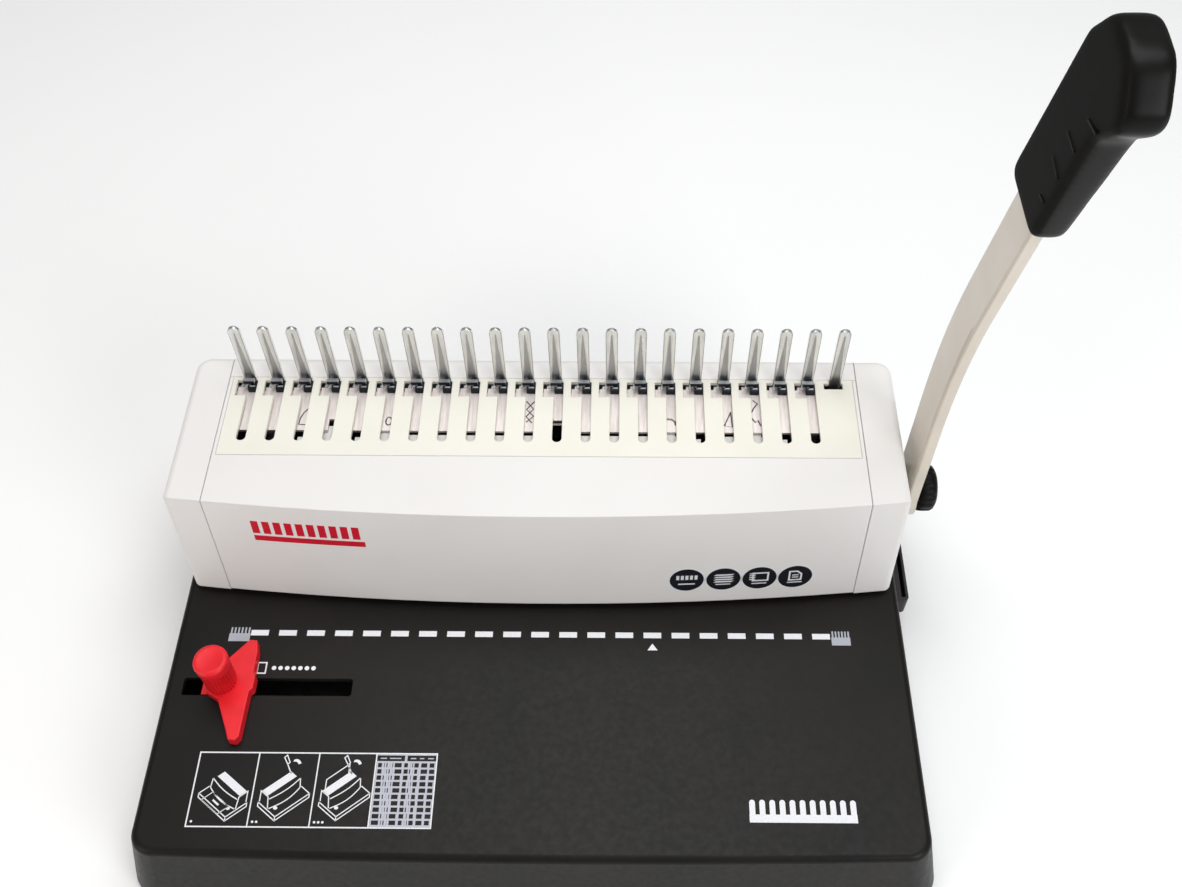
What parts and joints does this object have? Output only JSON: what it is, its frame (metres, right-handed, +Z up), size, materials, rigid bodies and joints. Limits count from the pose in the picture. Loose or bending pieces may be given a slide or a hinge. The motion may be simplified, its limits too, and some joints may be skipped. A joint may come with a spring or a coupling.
{
  "type": "comb binding machine",
  "caption": "Desktop comb binding machine: black paper table with edge guide, off-white punch housing, row of comb fingers and a side hand lever.",
  "frame": {"origin": "centre of the base, on the table the feet stand on", "axes": "+X towards the lever side (the user's right), +Y away from the user, +Z up"},
  "size_m": [0.397, 0.254, 0.3997],
  "materials": {
    "base_plastic": "fine-textured charcoal black",
    "plate_steel": "zinc plated",
    "foot_rubber": "matt",
    "dark_steel": "black oxide",
    "screw_steel": "zinc plated",
    "cover_plastic": "fine-textured warm off-white",
    "cream_plate": "satin cream paint",
    "comb_steel": "nickel plated",
    "rail_plastic": "natural",
    "tool_steel": "ground",
    "bush_brass": "plain",
    "arm_paint": "satin beige paint",
    "knob_plastic": "satin black",
    "drawer_plastic": "satin dark grey",
    "red_plastic": "satin red"
  },
  "bodies": {
    "base": {"base_shell": "base_plastic", "bottom_plate": "plate_steel", "rubber_feet": "foot_rubber", "bottom_screws": "screw_steel", "front_cover": "cover_plastic", "rear_cover": "cover_plastic", "left_end_cap": "cover_plastic", "right_end_cap": "cover_plastic", "cover_screws": "screw_steel", "comb_plate": "cream_plate", "finger_comb": "comb_steel", "slider_rails": "rail_plastic", "slider_guide": "rail_plastic", "die_plate": "tool_steel", "stripper_plate": "tool_steel", "throat_spacers": "plate_steel", "guide_posts": "tool_steel", "left_side_frame": "plate_steel", "right_side_frame": "plate_steel", "frame_screws": "screw_steel", "tie_bar": "dark_steel", "shaft_bushes": "bush_brass"},
    "lever": {"drive_shaft": "tool_steel", "crank_discs": "plate_steel", "crank_pins": "tool_steel", "slider_arms": "plate_steel", "slider_pins": "tool_steel", "lever_arm": "arm_paint", "lever_hub": "knob_plastic", "lever_knob": "knob_plastic", "lever_grip": "knob_plastic"},
    "punch_unit": {"punch_bar": "plate_steel", "punches": "tool_steel", "punch_retainer": "plate_steel"},
    "comb_hooks": {"hook_slider": "comb_steel"},
    "drawer": {"chip_drawer": "drawer_plastic"},
    "paper_guide": {"edge_guide": "red_plastic", "guide_nut": "screw_steel"},
    "guide_clamp": {"guide_knob": "red_plastic"}
  },
  "joints": [
    {"name": "lever_pull", "type": "hinge", "parent": "base", "child": "lever", "pos_m": [0, 0.0655, 0.076], "axis": [1, 0, 0], "range_deg": [0, 60]},
    {"name": "punch_stroke", "type": "slide", "parent": "base", "child": "punch_unit", "axis": [0, 0, -1], "range_m": [0, 0.0121]},
    {"name": "hook_stroke", "type": "slide", "parent": "base", "child": "comb_hooks", "axis": [0, -1, 0], "range_m": [0, 0.0301]},
    {"name": "drawer_slide", "type": "slide", "parent": "base", "child": "drawer", "axis": [1, 0, 0], "range_m": [0, 0.2]},
    {"name": "guide_slide", "type": "slide", "parent": "base", "child": "paper_guide", "axis": [1, 0, 0], "range_m": [-0.005, 0.05]},
    {"name": "guide_clamp_turn", "type": "hinge", "parent": "paper_guide", "child": "guide_clamp", "pos_m": [-0.155, -0.035, 0.05], "axis": [0, 0, 1], "range_deg": [0, 180]}
  ],
  "couplings": [
    {"joint": "punch_stroke", "follows": "lever_pull", "m_per_rad": 0.011459},
    {"joint": "hook_stroke", "follows": "lever_pull", "m_per_rad": 0.028648}
  ]
}
